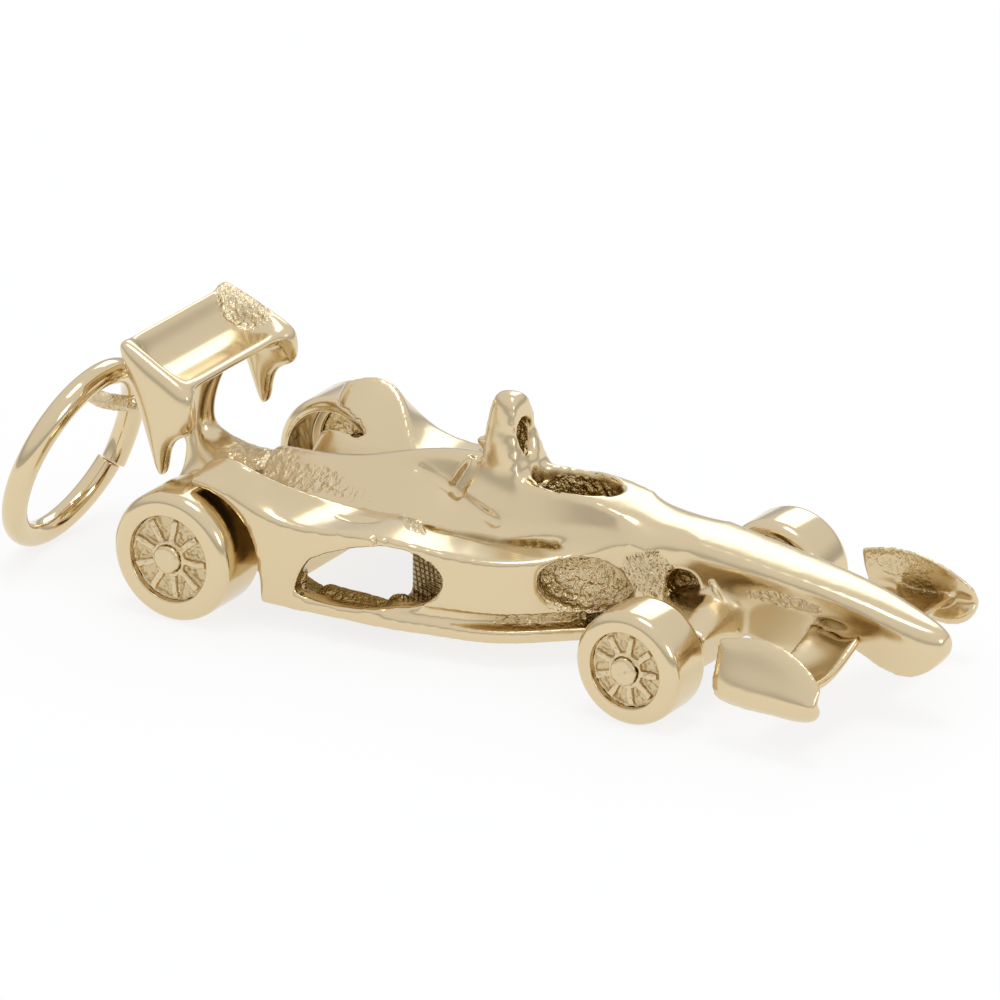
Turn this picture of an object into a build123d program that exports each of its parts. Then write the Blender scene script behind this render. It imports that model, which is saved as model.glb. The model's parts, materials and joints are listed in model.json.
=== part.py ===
from build123d import *
import math
import os

# Gold charm in the shape of an open wheel racing car, in millimetres.
# +X points to the nose, +Y to the car's left and +Z up, with the floor at Z = 0.
# The middle of the body is drawn about the middle of the wheelbase, the nose and front wing
# from the front axle, and the tail and rear wing from the rear axle, so both ends follow the wheels.
# Everything is moved by frame_shift when it is written.

# Driving dimensions: wheels and axles
wheelbase = 17.5
front_wheel_r = 1.98
rear_wheel_r = 2.27
front_face_y = 5.66
rear_face_y = 6.26
front_wheel_width = 2.07
rear_wheel_width = 2.45
disc_share = 0.67
cup_wall = 0.45
cup_web = 0.85
axle_r = 0.45
running_gap = 0.03
side_gap = 0.03
head_r = 0.50
head_height = 0.14
web_thickness = 0.50
web_recess = 0.06
boss_margin = 0.12
spoke_count = 9
spoke_width = 0.22
spoke_height = 0.12
tyre_edge_round = 0.30

# Driving dimensions: body shell
shell_wall = 0.5
floor_bottom_z = 0.8
floor_thickness = 0.5
floor_opening_half = 3.7
tail_hollow_half = 2.6
floor_rear_reach = 2.65
floor_rear_half = 5.05
groove_height = 0.55
arch_gap = 0.19
arch_forward = 0.30
arch_drop = 0.12
arch_inner_y = 2.75
cavity_rear_x = -5.9
cavity_front_x = -1.4
window_rear_x = -3.8
pocket_depth = 0.9
inlet_depth = 0.75
hole_r = 0.60
hole_depth = 0.7
cockpit_centre_x = 3.45
cockpit_half_length = 1.65
cockpit_half_width = 1.02
cockpit_floor_z = 3.3
cockpit_top_z = 6.0
cap_height = 0.20
groove_rear_x = -1.4
channel_z = 3.6

# Driving dimensions: nose, front wing and its end plates
nose_reach = 8.95
wing_front_reach = 6.10
wing_chord = 1.85
wing_half_span = 4.75
wing_thickness = 0.4
plate_thickness = 0.35
keel_half_width = 0.85
arm_gap = 0.3

# Driving dimensions: rear wing, tail and hanging ring
rear_plate_outer_y = 3.5
rear_plate_thickness = 0.75
left_plate_lift = 0.5
trough_thickness = 0.32
post_half_width = 0.5
post_rear_reach = 4.0
gearbox_half_width = 0.95
diffuser_half_width = 1.9
loop_wire_r = 0.42
loop_r = 1.35
loop_z = 5.05
ring_outer_d = 7.32
ring_wire_d = 0.87
ring_lean = 20.4
ring_clearance = 0.08
ring_gap = 0.10
ring_gap_angle = -27.0

front_x = wheelbase / 2
rear_x = -wheelbase / 2
nose_tip_x = front_x + nose_reach
wing_rear_reach = wing_front_reach - wing_chord
floor_top_z = floor_bottom_z + floor_thickness

# Place of the jump ring, which leans forward through the loop. It stands on the floor, or hangs
# from the loop if it is too small for that, with its wire just clear of the loop's far side
loop_centre_x = rear_x - post_rear_reach - loop_r - loop_wire_r + 0.05
ring_wire_r = ring_wire_d / 2
ring_r = ring_outer_d / 2 - ring_wire_r
lean = math.radians(ring_lean)
ring_room = ring_wire_r + loop_wire_r + ring_clearance
standing_rise = (loop_z - ring_wire_r) / math.cos(lean) - ring_r
ring_rise = min(standing_rise, ring_r - ring_room)
ring_centre_z = loop_z - ring_rise * math.cos(lean)
ring_reach = ring_r + ring_room
ring_centre_y = loop_r - math.sqrt(ring_reach**2 - ring_rise**2)
ring_centre_x = loop_centre_x - ring_rise * math.sin(lean)
ring_rear_x = ring_centre_x - ring_r * math.sin(lean) - ring_wire_r

# The origin is under the middle of the whole charm
frame_shift = -(nose_tip_x + ring_rear_x) / 2


def at_front(shape):
    """Shape drawn from the front axle, put in its place."""
    return Pos(front_x, 0, 0) * shape


def at_rear(shape):
    """Shape drawn from the rear axle, put in its place."""
    return Pos(rear_x, 0, 0) * shape


def mirror_y(shape):
    """Copy of a shape on the other side of the car."""
    return mirror(shape, about=Plane.XZ)


def cross_plane(x):
    """Plane across the car at x, with its first axis along +Y and its second along +Z."""
    return Plane(origin=(x, 0, 0), x_dir=(0, 1, 0), z_dir=(1, 0, 0))


def arc_face(points, bows):
    """Face with a closed outline, whose stretches bow outwards by the given heights."""
    ends = points[1:] + points[:1]
    turn = sum(start[0] * end[1] - end[0] * start[1] for start, end in zip(points, ends))
    outward = math.copysign(1, -turn)
    edges = []
    for start, end, bow in zip(points, ends, bows):
        edges.append(SagittaArc(start, end, outward * bow) if bow else Line(start, end))
    return make_face(edges)


def side_prism(face, inner_y, outer_y):
    """Solid with a face's side outline, between two distances to the left."""
    return Pos(0, inner_y, 0) * extrude(Plane.XZ * face, amount=outer_y - inner_y, dir=(0, 1, 0))


def both_sides(face, half_width):
    """Solid with a face's side outline, as wide on each side of the middle."""
    half = side_prism(face, 0, half_width)
    return half + mirror_y(half)


# Body sections across the car: the spine, the shoulder beside it, the foot of the engine cover,
# the valley, the rim and the outer crease of the pod, and the sill under it
body_sections = [
    # x, spine z, shoulder y, z, foot y, z, valley y, z, rim y, z, crease y, z, sill y
    (rear_x + 0.25, 4.25, 0.45, 4.10, 0.75, 3.75, 1.75, 3.10, 4.30, 5.15, 5.25, 4.85, 5.10),
    (rear_x + 1.25, 4.33, 0.45, 4.18, 0.80, 3.80, 1.80, 3.15, 4.30, 5.55, 5.30, 4.78, 5.15),
    (rear_x + 2.25, 4.42, 0.45, 4.27, 0.80, 3.95, 1.85, 3.30, 4.40, 5.35, 5.25, 4.42, 5.10),
    (rear_x + 3.35, 4.60, 0.40, 4.48, 0.75, 4.20, 1.95, 3.45, 3.40, 4.55, 5.05, 4.05, 4.95),
    (-2.4, 5.50, 0.36, 5.35, 0.55, 4.95, 2.20, 3.85, 2.60, 3.98, 4.55, 3.96, 4.68),
    (-0.4, 5.78, 0.50, 5.62, 0.95, 4.50, 2.30, 3.92, 2.75, 3.97, 4.33, 3.92, 4.45),
    (1.4, 5.80, 0.95, 5.45, 1.60, 4.30, 2.35, 3.92, 2.70, 3.95, 4.00, 3.74, 4.10),
    (3.2, 5.72, 1.15, 5.55, 1.65, 4.45, 2.15, 3.92, 2.35, 3.92, 3.30, 3.72, 3.35),
    (4.7, 5.64, 1.18, 5.52, 1.42, 4.70, 1.75, 4.12, 1.85, 4.05, 2.10, 3.90, 2.10),
    (front_x - 2.75, 5.35, 1.16, 5.25, 1.30, 4.85, 1.45, 4.55, 1.50, 4.48, 1.58, 4.38, 1.50),
    (front_x - 1.35, 5.15, 1.10, 5.08, 1.20, 4.98, 1.26, 4.90, 1.29, 4.85, 1.34, 4.75, 1.27),
]


def body_section(x, spine_z, sh_y, sh_z, foot_y, foot_z, va_y, va_z, rim_y, rim_z, out_y, out_z, sill_y):
    """Closed section of the body at x, drawn from its left sill over the top to its right one."""
    left = [
        (sill_y, floor_bottom_z),
        (out_y, out_z),
        (rim_y, rim_z),
        (va_y, va_z),
        (foot_y, foot_z),
        (sh_y, sh_z),
    ]
    right = [(-y, z) for y, z in reversed(left)]
    edges = []
    for start, end in zip(left, left[1:]):
        edges.append(Line(start, end))
    edges.append(ThreePointArc(left[-1], (0, spine_z), right[0]))
    for start, end in zip(right, right[1:]):
        edges.append(Line(start, end))
    edges.append(Line(right[-1], left[0]))
    return cross_plane(x) * make_face(edges)


def build_hull():
    """Outside of the body, one smooth skin from the tail to the cockpit's front."""
    return loft([body_section(*row) for row in body_sections])


def floor_plan(inset):
    """Left half of the floor's outline in plan, moved in from the sill by inset."""
    rear = (rear_x + floor_rear_reach, floor_rear_half - inset)
    waist = (1.4, 4.10 - inset)
    front = (5.0, 1.75 - inset)
    points = [(rear[0], 0), rear, waist, front, (front[0], 0)]
    return arc_face(points, (0, 0.12, 0.18, 0, 0))


def plan_prism(face, low_z, high_z):
    """Solid with a face's plan outline, between two heights, on both sides of the car."""
    half = Pos(0, 0, low_z) * extrude(face, amount=high_z - low_z, dir=(0, 0, 1))
    return half + mirror_y(half)


def build_cockpit():
    """Room inside the cockpit, which narrows downwards."""
    mouth = Ellipse(cockpit_half_length + 0.1, cockpit_half_width + 0.05)
    bottom = Ellipse(cockpit_half_length - 0.4, cockpit_half_width - 0.3)
    centre_x = cockpit_centre_x
    return loft([Pos(centre_x, 0, cockpit_floor_z) * bottom, Pos(centre_x, 0, cockpit_top_z) * mouth])


def build_body(hull, cockpit):
    """Hollow body with its wheel arches, floor groove, side windows, channels and side inlets."""
    arch_r = rear_wheel_r + arch_gap
    arch_x = rear_x + arch_forward
    arch_z = rear_wheel_r - arch_drop
    arch = side_prism(Pos(arch_x, arch_z) * Circle(arch_r), arch_inner_y, 7)
    below = side_prism(Pos(arch_x, 0) * Rectangle(2 * arch_r, 2 * arch_z), arch_inner_y, 7)

    # Groove between the floor plate and the side walls, which runs out towards the windows
    outside = Pos(groove_rear_x, 0) * Rectangle(8, 7, align=(Align.MIN, Align.MIN))
    kept_outline = [(groove_rear_x, 0), (groove_rear_x, 4.42), (1.4, 3.78), (4.7, 1.45), (4.7, 0)]
    kept = arc_face(kept_outline, (0, 0.05, 0.15, 0, 0))
    groove = plan_prism(outside - kept, floor_top_z, floor_top_z + groove_height)

    # Open underside: a hollow between the side windows, and a way out between the floor strips
    profile = Polygon(
        (cavity_rear_x, 0),
        (cavity_rear_x, 2.8),
        (cavity_rear_x + 1.2, 3.1),
        (cavity_front_x - 0.6, 3.45),
        (cavity_front_x, 3.25),
        (cavity_front_x, 0),
        align=None,
    )
    rooms = []
    for side_y, low_z in ((floor_rear_half, floor_top_z), (floor_opening_half, 0)):
        plan = Polygon(
            (cavity_rear_x, 0),
            (cavity_rear_x, tail_hollow_half),
            (window_rear_x, side_y),
            (cavity_front_x, side_y),
            (cavity_front_x, 0),
            align=None,
        )
        rooms.append(plan_prism(plan, low_z, 4))
    wide_room, way_out = rooms
    wide_room = wide_room & plan_prism(floor_plan(shell_wall), floor_top_z, 4)
    hollow = both_sides(profile, 6) & (wide_room + way_out)

    # Side windows, whose front end is a pocket with a slanted back
    window_face = arc_face(
        [(-4.7, 1.45), (-4.1, 2.75), (-1.3, 3.70), (0.45, 3.20), (0.70, 2.60), (-0.9, 1.60), (-3.1, 1.28)],
        (0.10, 0.12, 0.18, 0.10, 0.25, 0.05, 0.05),
    )
    window = side_prism(window_face, 2.5, 6)
    slant = Polygon(
        (window_rear_x, 2.6),
        (cavity_front_x - 0.3, 2.6),
        (cavity_front_x + 2.1, 4.25 - pocket_depth),
        (cavity_front_x + 2.3, 6),
        (-5.5, 6),
        (-5.5, 4.5),
        (window_rear_x, 4.2),
        align=None,
    )
    window = window & extrude(slant, amount=5, dir=(0, 0, 1))

    # Channel between the pod's top and the engine cover
    channel_face = arc_face(
        [(-1.3, 2.40), (1.7, 2.28), (4.3, 1.72), (4.3, 1.86), (1.7, 2.74), (-1.3, 2.78)],
        (0.03, 0.12, 0, -0.12, -0.03, 0),
    )
    channel = Pos(0, 0, channel_z) * extrude(channel_face, amount=1, dir=(0, 0, 1))

    # Side inlet beside the cockpit, square to the side wall there
    inlet_plane = Plane(origin=(5.1, 2.15, 2.88), x_dir=(0.89, -0.455, 0), z_dir=(0.455, 0.89, 0))
    inlet_face = Rot(0, 0, 8) * Ellipse(1.6, 0.92)
    inlet = extrude(inlet_plane * Pos(0, 0, -inlet_depth) * inlet_face, amount=inlet_depth + 1)

    body = hull - cockpit - hollow - groove
    for cut in (arch, below, window, channel, inlet):
        body -= [cut, mirror_y(cut)]
    return body


# Nose sections from the front axle: the top edge, the side and the bottom edge
nose_sections = [
    # x, top y, z, side y, z, bottom y, z
    (-1.35, 1.12, 5.08, 1.34, 4.6, 1.25, 1.4),
    (-0.20, 1.08, 4.96, 1.30, 4.4, 1.14, 1.45),
    (0.85, 1.03, 4.83, 1.25, 4.2, 1.02, 1.8),
    (1.60, 1.00, 4.73, 1.20, 4.15, 0.98, 2.8),
    (2.40, 0.98, 4.62, 1.16, 4.15, 0.98, 3.4),
    (4.60, 0.86, 4.32, 1.04, 3.9, 0.86, 3.0),
    (6.40, 0.72, 3.96, 0.93, 3.5, 0.75, 2.0),
    (7.60, 0.58, 3.62, 0.80, 3.1, 0.55, 1.62),
    (8.50, 0.38, 3.34, 0.58, 2.85, 0.38, 2.02),
]


def nose_section(x, top_y, top_z, side_y, side_z, low_y, low_z):
    """Closed section of the nose at x from the front axle, with bowed sides."""
    left = [(low_y, low_z), (side_y, side_z), (top_y, top_z)]
    right = [(-y, z) for y, z in reversed(left)]
    return cross_plane(x) * arc_face(left + right, (0.08, 0.06, 0.10, 0.06, 0.08, 0))


def build_nose():
    """Long nose, which droops to a blunt tip, with a round pocket behind each front wheel."""
    sections = [nose_section(*row) for row in nose_sections]
    sections.append(nose_section(nose_reach, 0.15, 3.12, 0.26, 2.9, 0.15, 2.55))
    nose = loft(sections)
    pocket = Rot(-90, 0, 0) * Cylinder(hole_r, 2, align=(Align.CENTER, Align.CENTER, Align.MIN))
    pocket = Pos(-0.45, 1.35 - hole_depth, 3.3) * pocket
    return at_front(nose - pocket - mirror_y(pocket))


def build_keel():
    """Keel under the nose, which ends on the front wing that it carries."""
    outline = [
        (1.55, 4.2),
        (1.55, 2.0),
        (wing_rear_reach - 1.0, 1.64),
        (wing_rear_reach - 0.1, 1.76),
        (wing_rear_reach + 0.5, 2.2),
        (wing_rear_reach + 0.9, 2.7),
        (wing_rear_reach + 0.9, 4.2),
    ]
    return at_front(both_sides(arc_face(outline, (0, 0.15, 0.05, 0.05, 0, 0, 0)), keel_half_width))


# Front wing sections from the front axle: the trailing and leading edges of the dished plane
wing_sections = [
    # y, trailing z, leading z
    (0.0, 2.50, 2.70),
    (1.0, 2.40, 2.55),
    (2.3, 1.95, 2.00),
    (3.8, 1.85, 1.90),
]


def wing_section(y, rear_z, front_z):
    """Side section of the wing at y, thin, bowed down and round at its leading edge."""
    outline = [
        (wing_rear_reach, rear_z),
        (wing_rear_reach, rear_z + wing_thickness),
        (wing_front_reach, front_z + wing_thickness),
        (wing_front_reach, front_z),
    ]
    return Pos(0, y, 0) * (Plane.XZ * arc_face(outline, (0.1, -0.22, 0.12, 0.22)))


def build_front_wing():
    """Front wing's plane, dished along its chord and rising to the nose in the middle."""
    sections = [wing_section(*row) for row in wing_sections]
    sections.append(wing_section(wing_half_span + 0.45, 1.85, 1.90))
    half = loft(sections)
    return at_front(half + mirror_y(half))


# End plate sections from the front axle: the top edge, the widest place and the inner bottom edge
plate_sections = [
    # x, top y, z, wide y, z, bottom y, z
    (2.95, 4.80, 3.45, 5.20, 2.20, 4.95, 1.50),
    (4.60, 4.78, 3.75, 5.48, 2.10, 4.88, 1.26),
    (6.00, 4.90, 3.45, 5.52, 2.10, 4.78, 1.22),
    (6.70, 5.05, 3.04, 5.50, 2.15, 4.82, 1.36),
    (7.10, 5.20, 2.66, 5.42, 2.25, 5.05, 1.75),
]


def plate_section(x, top_y, top_z, wide_y, wide_z, low_y, low_z):
    """Curved section of the end plate, hollow above and bulging below."""
    wall = plate_thickness
    points = [
        (low_y, low_z),
        (wide_y, wide_z),
        (top_y, top_z),
        (top_y - wall, top_z),
        (wide_y - wall, wide_z),
        (low_y - wall / 2, low_z + wall),
    ]
    low_chord = math.dist(points[0], points[1])
    top_chord = math.dist(points[1], points[2])
    bows = (0.12 * low_chord, -0.06 * top_chord, 0, 0.06 * top_chord, -0.10 * low_chord, 0)
    return cross_plane(x) * arc_face(points, bows)


def build_front_plate():
    """Left end plate of the front wing, a spoon open towards the nose."""
    return at_front(loft([plate_section(*row) for row in plate_sections]))


def build_arm():
    """Left arm from the nose to the front wheel, with a fin along its front edge."""
    root = [(-1.1, 1.4), (-1.1, 3.0), (0.7, 3.6), (1.7, 3.0), (1.5, 1.4)]
    tip = [(-0.9, 1.35), (-0.9, 2.5), (0.7, 2.75), (1.6, 2.6), (1.3, 1.35)]
    bows = (0, -0.1, 0.1, 0.1, 0)
    inner_y = keel_half_width
    outer_y = front_face_y - front_wheel_width - arm_gap
    ends = []
    for y, outline in ((inner_y, root), (outer_y, tip)):
        ends.append(Pos(0, y, 0) * (Plane.XZ * arc_face(outline, bows)))
    return at_front(loft(ends, ruled=True))


# Hoop sections: height, front x, half width there, rear x and half width there
hoop_sections = [
    # z, front x, half width, rear x, half width
    (4.2, 2.30, 1.65, -0.50, 1.25),
    (5.1, 1.95, 1.22, -0.15, 0.85),
    (5.9, 1.65, 0.98, 0.00, 0.52),
    (6.8, 1.40, 0.80, 0.02, 0.32),
    (7.5, 1.32, 0.66, 0.12, 0.24),
    (8.0, 1.22, 0.46, 0.30, 0.20),
]


def build_hoop(cockpit):
    """Roll hoop, a fin with a flared foot and a tall oval intake in its front."""
    sections = []
    for z, front, half, rear, rear_half in hoop_sections:
        points = [(front, -half), (front, half), (rear, rear_half), (rear, -rear_half)]
        sections.append(Pos(0, 0, z) * arc_face(points, (0.05, 0.10, 0, 0.10)))
    top_z, front, half, rear, rear_half = hoop_sections[-1]
    front -= cap_height
    rear += cap_height
    cap = [(front, -half / 2), (front, half / 2), (rear, rear_half / 2), (rear, -rear_half / 2)]
    sections.append(Pos(0, 0, top_z + cap_height) * arc_face(cap, (0.03, 0.05, 0, 0.05)))
    intake = Pos(0.7, 0, 6.68) * Rot(0, 90, 0) * extrude(Ellipse(0.70, 0.42), amount=2)
    return loft(sections) - intake - cockpit


def build_gearbox():
    """Gearbox block behind the body, which carries the rear axle, with a sloping top."""
    outline = [
        (1.6, 1.3),
        (1.6, 3.6),
        (0.25, 3.95),
        (-1.2, 3.88),
        (-2.4, 4.25),
        (-2.85, 4.0),
        (-3.2, 2.8),
        (-1.6, 1.6),
    ]
    return at_rear(both_sides(arc_face(outline, (0, 0, 0, -0.05, 0.05, 0.08, 0.15, 0)), gearbox_half_width))


def build_diffuser():
    """Wedge under the tail, on both sides of the gearbox."""
    outline = [(-3.5, 2.1), (-3.5, 2.4), (-1.5, 3.4), (-0.9, 3.0), (-1.1, 1.6)]
    return at_rear(both_sides(arc_face(outline, (0, 0.05, 0.05, 0, -0.1)), diffuser_half_width))


def build_post():
    """Post between the gearbox and the rear wing, with a rear face for the hanging loop."""
    rear = -post_rear_reach
    outline = [
        (-1.7, 6.7),
        (-2.32, 4.75),
        (-2.2, 4.2),
        (rear + 0.9, 3.7),
        (rear, 4.4),
        (rear, loop_z + 0.5),
        (-3.3, 7.1),
    ]
    return at_rear(both_sides(arc_face(outline, (-0.12, 0, 0, 0.05, 0, -0.08, 0)), post_half_width))


def build_trough():
    """Rear wing, a deep trough with round lips between the two end plates."""
    wall = trough_thickness
    rear_in = (-3.72, 8.30)
    front_in = (-1.38, 7.15)
    rear_out = (rear_in[0] - 0.9 * wall, rear_in[1] - 0.45 * wall)
    front_out = (front_in[0] + 0.35 * wall, front_in[1] - wall)
    face = arc_face([rear_out, rear_in, front_in, front_out], (0.12, -0.75, 0.12, 0.75))
    return at_rear(both_sides(face, rear_plate_outer_y - rear_plate_thickness))


def build_rear_plate(lift):
    """Left end plate of the rear wing, which stands higher by lift but for its front edge."""
    outline = [
        (-3.80 - lift / 2, 8.44),
        (-0.98, 6.92 + lift / 2),
        (-0.89, 5.45 + lift),
        (-1.35, 5.30 + lift),
        (-1.93, 4.66 + lift),
        (-2.03, 3.80 + lift),
        (-2.42, 3.72 + lift),
        (-3.90, 7.94),
    ]
    bows = (0.04, 0.05, 0.05, -0.12, 0.03, 0.18, -0.06, 0.10)
    inner_y = rear_plate_outer_y - rear_plate_thickness
    return at_rear(side_prism(arc_face(outline, bows), inner_y, rear_plate_outer_y))


def build_axle(x, z, face_y):
    """Axle across the car, with a round rivet head outside each wheel."""
    shaft = Pos(x, 0, z) * Rot(90, 0, 0) * Cylinder(axle_r, 2 * face_y)
    head = Rot(-90, 0, 0) * Cylinder(head_r, head_height, align=(Align.CENTER, Align.CENTER, Align.MIN))
    head = fillet(head.edges().filter_by(GeomType.CIRCLE).sort_by(Axis.Y)[-1], head_height * 0.8)
    head = Pos(x, face_y, z) * head
    return shaft + head + mirror_y(head)


def build_tyre(x, radius, face_y, width, disc_r):
    """Left wheel's turned cup, with a bore in its outer face and a wide hollow behind it."""
    web_y = face_y - cup_web
    inner_y = face_y - width
    cup_r = radius - cup_wall
    outline = [
        (disc_r, face_y),
        (radius, face_y),
        (radius, inner_y),
        (cup_r, inner_y),
        (cup_r, web_y),
        (disc_r, web_y),
    ]
    cup = revolve(Polygon(*outline, align=None), Axis.Y)
    rim = cup.edges().filter_by(GeomType.CIRCLE).sort_by(lambda edge: edge.radius)[-2:]
    return Pos(x, 0, radius) * fillet(rim, tyre_edge_round)


def build_disc(x, radius, face_y, disc_r):
    """Left spoked disc with a boss, set back in the cup's outer face."""
    outer_y = face_y - web_recess - spoke_height
    face = Circle(disc_r) - Circle(axle_r + running_gap)
    disc = side_prism(face, outer_y - web_thickness, outer_y)
    boss_r = head_r + boss_margin
    root_r = boss_r - boss_margin / 2
    tip_r = disc_r - boss_margin
    for index in range(spoke_count):
        spoke = Pos((root_r + tip_r) / 2, 0, 0) * Box(tip_r - root_r, 2 * spoke_height, spoke_width)
        disc += Pos(0, outer_y, 0) * Rot(0, index * 360 / spoke_count, 0) * spoke
    boss = Circle(boss_r) - Circle(axle_r + running_gap)
    disc += side_prism(boss, outer_y, face_y - side_gap)
    return Pos(x, 0, radius) * disc


def build_loop():
    """Closed loop soldered to the rear of the wing's post."""
    return Pos(loop_centre_x, 0, loop_z) * Torus(loop_r, loop_wire_r)


def build_ring():
    """Open jump ring, which stands on the floor and leans through the loop."""
    plane = Plane(
        origin=(ring_centre_x, ring_centre_y, ring_centre_z),
        x_dir=(0, 1, 0),
        z_dir=(math.cos(lean), 0, -math.sin(lean)),
    )
    slit = Rot(0, 0, ring_gap_angle) * Pos(ring_r, 0, 0) * Box(4 * ring_wire_r, ring_gap, 4 * ring_wire_r)
    return plane * (Torus(ring_r, ring_wire_r) - slit)


def axle_bore(x, z):
    """Room for an axle through what holds it."""
    return Pos(x, 0, z) * Rot(90, 0, 0) * Cylinder(axle_r, 14)


front_bore = axle_bore(front_x, front_wheel_r)
rear_bore = axle_bore(rear_x, rear_wheel_r)

cockpit = build_cockpit()
body_shell = build_body(build_hull(), cockpit) - rear_bore
gearbox = build_gearbox() - rear_bore - body_shell
nose = build_nose()
arm = build_arm() - nose - front_bore
nose = nose - front_bore
front_plate = build_front_plate()
front_wing = build_front_wing() - nose - front_plate - mirror_y(front_plate)
keel = build_keel() - nose - arm - mirror_y(arm) - front_wing
hoop = build_hoop(cockpit) - body_shell
rear_plate_left = build_rear_plate(left_plate_lift)
rear_plate_right = mirror_y(build_rear_plate(0))
trough = build_trough()
post = build_post() - trough - gearbox
diffuser = build_diffuser() - gearbox - post - body_shell - rear_bore
loop = build_loop() - post

nodes = {
    "body_shell": body_shell,
    "nose": nose,
    "front_axle_beam": Compound([arm, mirror_y(arm)]),
    "wing_keel": keel,
    "front_wing": front_wing,
    "front_plate_left": front_plate,
    "front_plate_right": mirror_y(front_plate),
    "roll_hoop": hoop,
    "gearbox": gearbox,
    "diffuser": diffuser,
    "rear_wing_post": post,
    "rear_wing": trough,
    "rear_plate_left": rear_plate_left,
    "rear_plate_right": rear_plate_right,
    "front_axle": build_axle(front_x, front_wheel_r, front_face_y),
    "rear_axle": build_axle(rear_x, rear_wheel_r, rear_face_y),
    "hanging_loop": loop,
    "jump_ring": build_ring(),
}

# Wheels: name, axle x, radius, outer face y and width
wheels = [
    ("front", front_x, front_wheel_r, front_face_y, front_wheel_width),
    ("rear", rear_x, rear_wheel_r, rear_face_y, rear_wheel_width),
]
for name, x, radius, face_y, width in wheels:
    disc_r = disc_share * radius
    tyre = build_tyre(x, radius, face_y, width, disc_r)
    disc = build_disc(x, radius, face_y, disc_r)
    nodes[f"{name}_tyre_left"] = tyre
    nodes[f"{name}_tyre_right"] = mirror_y(tyre)
    nodes[f"{name}_disc_left"] = disc
    nodes[f"{name}_disc_right"] = mirror_y(disc)

os.makedirs("parts", exist_ok=True)
for name, solid in nodes.items():
    export_step(Pos(frame_shift, 0, 0) * solid, f"parts/{name}.step")
print("frame shift", round(frame_shift, 4))
print("ring pivot", round(loop_centre_x + frame_shift, 4), round(-loop_r, 4), round(loop_z, 4))
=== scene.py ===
"""Looks of the gold racing car charm: its casting, four turned wheels and a jump ring.

Pieces are modelled in millimetres, because they are small, and shrunk to metres when they are done.
Places on the car are measured from the middle of the wheelbase, on the floor, as in the CAD source.
"""

import json
import logging
import math
from contextlib import contextmanager
from dataclasses import dataclass, field
from enum import Enum
from typing import Callable, Iterator

import bmesh
import bpy
import numpy as np
from mathutils import Matrix, Vector
from mathutils.bvhtree import BVHTree

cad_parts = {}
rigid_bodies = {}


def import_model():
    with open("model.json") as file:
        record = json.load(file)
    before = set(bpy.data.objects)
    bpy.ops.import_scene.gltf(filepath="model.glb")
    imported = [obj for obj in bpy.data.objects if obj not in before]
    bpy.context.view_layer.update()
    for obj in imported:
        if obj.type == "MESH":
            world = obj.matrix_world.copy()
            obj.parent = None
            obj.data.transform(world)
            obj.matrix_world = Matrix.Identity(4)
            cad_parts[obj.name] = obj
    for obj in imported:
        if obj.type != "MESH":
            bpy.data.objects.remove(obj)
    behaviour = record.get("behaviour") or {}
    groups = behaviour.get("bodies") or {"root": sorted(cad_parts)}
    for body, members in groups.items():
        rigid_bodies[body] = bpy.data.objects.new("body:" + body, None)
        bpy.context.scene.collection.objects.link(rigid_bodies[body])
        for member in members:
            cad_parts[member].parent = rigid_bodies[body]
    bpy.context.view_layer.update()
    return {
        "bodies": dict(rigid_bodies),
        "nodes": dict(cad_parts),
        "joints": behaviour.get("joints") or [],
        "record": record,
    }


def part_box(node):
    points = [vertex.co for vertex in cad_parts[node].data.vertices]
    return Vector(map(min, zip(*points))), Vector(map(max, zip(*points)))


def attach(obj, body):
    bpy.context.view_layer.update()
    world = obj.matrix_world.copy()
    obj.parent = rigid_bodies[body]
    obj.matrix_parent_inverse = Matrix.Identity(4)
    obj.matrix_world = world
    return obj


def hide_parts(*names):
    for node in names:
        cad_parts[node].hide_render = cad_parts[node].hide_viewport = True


MM = 0.001
LOG = logging.getLogger("charm")

# Modelling, with lengths in millimetres
TINY = 0.001
WEIGHT_STEPS = 30  # steps from no weight to full weight
SMOOTH_FACTOR = 0.5  # how far one smoothing moves a vertex towards its neighbours
LUMP_DETAIL = 2  # finer layers in the lumps of a rough skin
BEVEL_STEPS = 3  # faces across a rounded edge
RAY_START = 0.03  # height over the skin from which rays are cast
GRAZING = 0.1  # least cosine between such a ray and the skin's normal
CAVITY_EVENING = 4  # how often the share of rays that hit is evened out
FACING_SLOPE = 3  # how fast a zone comes in as the skin turns its way
OUTWARD = 0.6  # least share of outward in the normals of a disc's front

Point = tuple[float, float, float]
Colour = tuple[float, float, float]


class Slot(Enum):
    """Material slots of the record."""

    CAST = "cast_gold"
    WHEEL = "wheel_gold"
    WIRE = "wire_gold"


class Side(Enum):
    """Side of the car, as the sign of Y."""

    LEFT = 1
    RIGHT = -1


class End(Enum):
    """End of the car, as its pieces are named."""

    FRONT = "front"
    REAR = "rear"


# Modelling helpers


def pick(*pieces: bpy.types.Object) -> None:
    """Selects these pieces alone, the first of them active.

    Args:
        pieces: the objects to select.
    """
    bpy.ops.object.select_all(action="DESELECT")
    for piece in pieces:
        piece.select_set(True)
    bpy.context.view_layer.objects.active = pieces[0]


@contextmanager
def editing(piece: bpy.types.Object, faces: np.ndarray | None = None) -> Iterator[None]:
    """Edit mode on one piece.

    Args:
        piece: the mesh object to edit.
        faces: True for each face to select at its start; without it nothing is selected.
    """
    pick(piece)
    bpy.ops.object.mode_set(mode="EDIT")
    bpy.ops.mesh.select_mode(type="FACE")
    bpy.ops.mesh.select_all(action="DESELECT")
    if faces is not None:
        bpy.ops.object.mode_set(mode="OBJECT")
        piece.data.polygons.foreach_set("select", faces)
        bpy.ops.object.mode_set(mode="EDIT")
    yield
    bpy.ops.object.mode_set(mode="OBJECT")


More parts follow.
